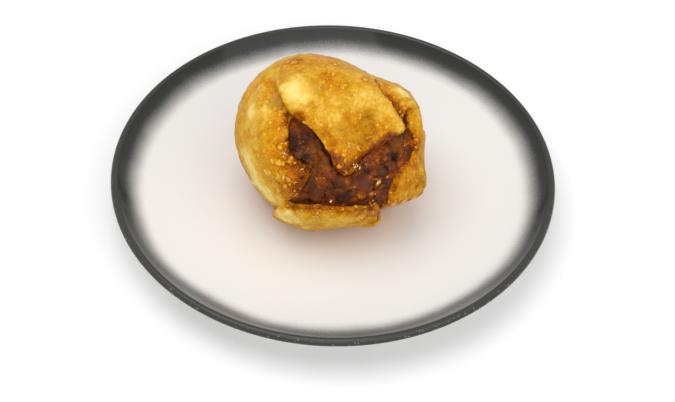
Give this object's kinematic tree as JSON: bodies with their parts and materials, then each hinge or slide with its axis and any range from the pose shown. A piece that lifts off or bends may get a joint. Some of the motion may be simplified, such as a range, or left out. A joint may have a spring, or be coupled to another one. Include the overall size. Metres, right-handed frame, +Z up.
{
  "type": "plate with one fried dim sim",
  "caption": "Round white side plate with a smoky dark rim, holding one fried dumpling whose folded wrapper gapes over browned mince.",
  "frame": {"origin": "middle of the plate's foot ring, on the surface that the plate stands on", "axes": "+Z up out of the plate; the open face of the dumpling looks to -Y and up; +X to its right"},
  "size_m": [0.165, 0.165, 0.0677],
  "materials": {
    "plate": "glossy glaze, white in the middle and airbrushed to a speckled charcoal at the rim",
    "wrapper": "fried wheat wrapper: golden, blistered, browned at its edges, with a thin film of oil",
    "filling": "browned mince crust, lumpy and glistening"
  },
  "bodies": {
    "root": {"plate": "plate", "wrapper": "wrapper", "filling": "filling"}
  },
  "joints": []
}
